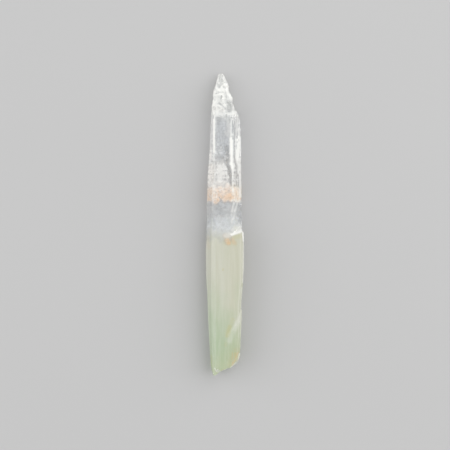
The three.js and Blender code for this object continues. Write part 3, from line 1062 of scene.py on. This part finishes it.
def fleck_tree():
    """Geometry Nodes that scatter flat flecks over a sheet."""
    tree = bpy.data.node_groups.new("Scatter flecks", "GeometryNodeTree")
    kinds = {"Sheet": "Geometry", "Density": "Float", "Size": "Float", "Drift": "Float"}
    kinds.update({"Seed": "Int", "Material": "Material"})
    for label, kind in kinds.items():
        tree.interface.new_socket(label, in_out="INPUT", socket_type="NodeSocket" + kind)
    tree.interface.new_socket("Flecks", in_out="OUTPUT", socket_type="NodeSocketGeometry")
    w = Wiring(tree)
    source = w.add("NodeGroupInput").outputs
    sink = w.add("NodeGroupOutput")

    def random_vector(low, high, salt):
        """A random vector for each fleck. The salt keeps two such vectors apart."""
        seed = w.math("ADD", source["Seed"], salt)
        sockets = {"Min": low, "Max": high, "Seed": seed}
        return w.add("FunctionNodeRandomValue", sockets, data_type="FLOAT_VECTOR").outputs[0]

    def times(vector, factor):
        node = w.add("ShaderNodeVectorMath", {0: vector, "Scale": factor}, operation="SCALE")
        return node.outputs[0]

    sockets = {"Mesh": source["Sheet"], "Density": source["Density"], "Seed": source["Seed"]}
    points = w.add("GeometryNodeDistributePointsOnFaces", sockets).outputs
    away = times(random_vector((-1, -1, -1), (1, 1, 1), 1.0), source["Drift"])
    moved = w.add("GeometryNodeSetPosition", {"Geometry": points["Points"], "Offset": away})
    tilt = random_vector(*FLECK_TILT, 2.0)
    turn = w.add("FunctionNodeEulerToRotation", {"Euler": tilt}).outputs[0]
    sockets = {"Rotation": points["Rotation"], "Rotate By": turn}
    facing = w.add("FunctionNodeRotateRotation", sockets, rotation_space="LOCAL").outputs[0]
    flake = w.add("GeometryNodeMeshIcoSphere", {"Radius": 1.0, "Subdivisions": 1}).outputs["Mesh"]
    spread = times(random_vector(*FLECK_SPREAD, 3.0), source["Size"])
    sockets = {"Points": moved.outputs[0], "Instance": flake, "Rotation": facing, "Scale": spread}
    flakes = w.add("GeometryNodeInstanceOnPoints", sockets).outputs[0]
    plain = w.add("GeometryNodeRealizeInstances", {"Geometry": flakes}).outputs[0]
    sockets = {"Geometry": plain, "Material": source["Material"]}
    w.feed(sink.inputs["Flecks"], w.add("GeometryNodeSetMaterial", sockets).outputs[0])
    return tree


def fleck_sheet(context, shell, plane, waves, bare, salt):
    """A wavy sheet inside the crystal, with bare patches."""
    centre, across, along = plane
    facing = across.cross(along).normalized()
    bm = bmesh.new()
    grid = []
    for i in range(SHEET_CELLS + 1):
        for j in range(SHEET_CELLS + 1):
            place = centre + across * (2.0 * i / SHEET_CELLS - 1.0)
            place += along * (2.0 * j / SHEET_CELLS - 1.0)
            wave = noise.noise(place * 0.32 + Vector((salt, 0.0, 0.0)))
            grid.append(bm.verts.new((place + facing * wave * 2.0 * waves) * MM))
    inside = []
    for vert in grid:
        near, normal, _, _ = shell.find_nearest(vert.co)
        inside.append((vert.co - near).dot(normal) < -SHEET_MARGIN)
    for i in range(SHEET_CELLS):
        for j in range(SHEET_CELLS):
            ring = [i * (SHEET_CELLS + 1) + j, (i + 1) * (SHEET_CELLS + 1) + j]
            ring += [ring[1] + 1, ring[0] + 1]
            middle = grid[ring[0]].co / MM
            patch = 0.5 + 0.9 * noise.fractal(middle * 0.5 + Vector((0.0, salt, 0.0)), 0.8, 2.0, 3)
            if all(inside[k] for k in ring) and patch > bare:
                bm.faces.new([grid[k] for k in ring])
    mesh = bpy.data.meshes.new("fleck_sheet")
    bm.to_mesh(mesh)
    bm.free()
    sheet = bpy.data.objects.new("fleck_sheet", mesh)
    context.collection.objects.link(sheet)
    return sheet


def scattered(context, sheet, tree, values):
    """The flecks that the tree scatters over a sheet, as a plain mesh. The sheet is removed."""
    scatter = sheet.modifiers.new("Flecks", "NODES")
    scatter.node_group = tree
    for item in tree.interface.items_tree:
        if item.in_out == "INPUT" and item.name in values:
            scatter[item.identifier] = values[item.name]
    done = sheet.evaluated_get(context.evaluated_depsgraph_get())
    mesh = bpy.data.meshes.new_from_object(done)
    bpy.data.objects.remove(sheet)
    return mesh


def make_flecks(context):
    """White veils, and the stained crack across the crystal, as flecks on wavy sheets."""
    shell = BVHTree.FromBMesh(merged_crystal())
    tree = fleck_tree()
    material = heart_material(context.scene.quartz_colours, "Fleck", 0.5)
    flecks = bmesh.new()
    for salt, row in enumerate(FLECK_SHEETS):
        plane = [Vector(part) for part in row[:3]]
        waves, density, size, bare, frost_and_highlight, stain = row[3:]
        sheet = fleck_sheet(context, shell, plane, waves, bare, 11.0 * salt)
        values = {"Density": density / MM**2, "Size": size * MM, "Drift": FLECK_DRIFT}
        values.update({"Seed": salt, "Material": material})
        mesh = scattered(context, sheet, tree, values)
        part = bmesh.new()
        part.from_mesh(mesh)
        paint(part)
        for name, value in (("milk", 0.0), ("frost_and_highlight", frost_and_highlight), ("stain", stain)):
            layer = part.verts.layers.float[name]
            for vert in part.verts:
                vert[layer] = value
        part.to_mesh(mesh)
        part.free()
        flecks.from_mesh(mesh)
    finish_piece(context, flecks, "inner_flecks", material)


# ---- the stage ---------------------------------------------------------------------------


def add_lamp(context, name, place, size, target, power):
    """A large soft lamp that points at the target."""
    light = bpy.data.lights.new(name, "AREA")
    light.shape = "RECTANGLE"
    light.size, light.size_y = size
    light.energy = power
    lamp = bpy.data.objects.new(name, light)
    lamp.location = place
    lamp.rotation_euler = (target - Vector(place)).to_track_quat("-Z", "Y").to_euler()
    context.collection.objects.link(lamp)


def make_stage(context):
    """The floor, the light from all round, two lamps, the camera and the bounces of light."""
    studio = context.scene.quartz_studio
    low, high = (Vector(corner) for corner in CAD_BOX)
    centre = (low + high) / 2

    bpy.ops.mesh.primitive_plane_add(size=FLOOR_SIZE, location=(0.0, 0.0, FLOOR_HEIGHT))
    floor = context.object
    floor.name = "studio_floor"
    floor.data.materials.append(floor_material(studio.floor[:]))

    world = bpy.data.worlds.new("Studio")
    world.use_nodes = True
    background = world.node_tree.nodes["Background"]
    background.inputs["Color"].default_value = (1.0, 1.0, 1.0, 1.0)
    background.inputs["Strength"].default_value = studio.sky
    context.scene.world = world

    add_lamp(context, "Key", *KEY_LAMP, centre, studio.key)
    add_lamp(context, "Fill", *FILL_LAMP, centre, studio.fill)

    data = bpy.data.cameras.new("Camera")
    data.lens = studio.lens
    data.sensor_width = SENSOR_WIDTH
    data.clip_start = CLIP_START
    camera = bpy.data.objects.new("Camera", data)
    distance = studio.view_width * data.lens / data.sensor_width
    camera.location = (0.0, CAMERA_Y, VIEW_LEVEL * high.z + distance)
    context.collection.objects.link(camera)
    context.scene.camera = camera

    scene = context.scene
    scene.view_settings.view_transform = "Standard"
    scene.cycles.max_bounces = 24
    scene.cycles.transmission_bounces = 24
    scene.cycles.diffuse_bounces = 8
    scene.cycles.glossy_bounces = 12
    scene.cycles.transparent_max_bounces = 16


# ---- operators and panel -----------------------------------------------------------------


class QUARTZ_OT_crystal(bpy.types.Operator):
    """Make the crystal's worn and cloudy surface"""

    bl_idname = "quartz.crystal"
    bl_label = "Crystal"

    def execute(self, context):
        make_crystal(context)
        return {"FINISHED"}


class QUARTZ_OT_heart(bpy.types.Operator):
    """Make the milky inside of the lower half"""

    bl_idname = "quartz.heart"
    bl_label = "Milky inside"

    def execute(self, context):
        make_heart(context)
        return {"FINISHED"}


class QUARTZ_OT_flecks(bpy.types.Operator):
    """Make the flecks of the veils and of the stained crack"""

    bl_idname = "quartz.flecks"
    bl_label = "Inner flecks"

    def execute(self, context):
        make_flecks(context)
        return {"FINISHED"}


class QUARTZ_OT_stage(bpy.types.Operator):
    """Make the floor, the lights and the camera"""

    bl_idname = "quartz.stage"
    bl_label = "Stage"

    def execute(self, context):
        make_stage(context)
        return {"FINISHED"}


OPERATORS = (QUARTZ_OT_crystal, QUARTZ_OT_heart, QUARTZ_OT_flecks, QUARTZ_OT_stage)
SETTINGS = {
    "quartz_sizes": QuartzSizes,
    "quartz_colours": QuartzColours,
    "quartz_studio": QuartzStudio,
}


class QUARTZ_PT_panel(bpy.types.Panel):
    bl_label = "Quartz point"
    bl_idname = "QUARTZ_PT_panel"
    bl_space_type = "VIEW_3D"
    bl_region_type = "UI"
    bl_category = "Quartz"

    def draw(self, context):
        for group in SETTINGS:
            settings = getattr(context.scene, group)
            for name in settings.__annotations__:
                self.layout.prop(settings, name)
        for operator in OPERATORS:
            self.layout.operator(operator.bl_idname)


def register():
    for kind in (*SETTINGS.values(), *OPERATORS, QUARTZ_PT_panel):
        bpy.utils.register_class(kind)
    for name, kind in SETTINGS.items():
        setattr(bpy.types.Scene, name, bpy.props.PointerProperty(type=kind))


def unregister():
    for name in SETTINGS:
        delattr(bpy.types.Scene, name)
    for kind in (QUARTZ_PT_panel, *OPERATORS[::-1], *SETTINGS.values()):
        bpy.utils.unregister_class(kind)


def main():
    register()
    bpy.ops.quartz.crystal()
    bpy.ops.quartz.heart()
    bpy.ops.quartz.flecks()
    bpy.ops.quartz.stage()


if __name__ == "__main__":
    main()
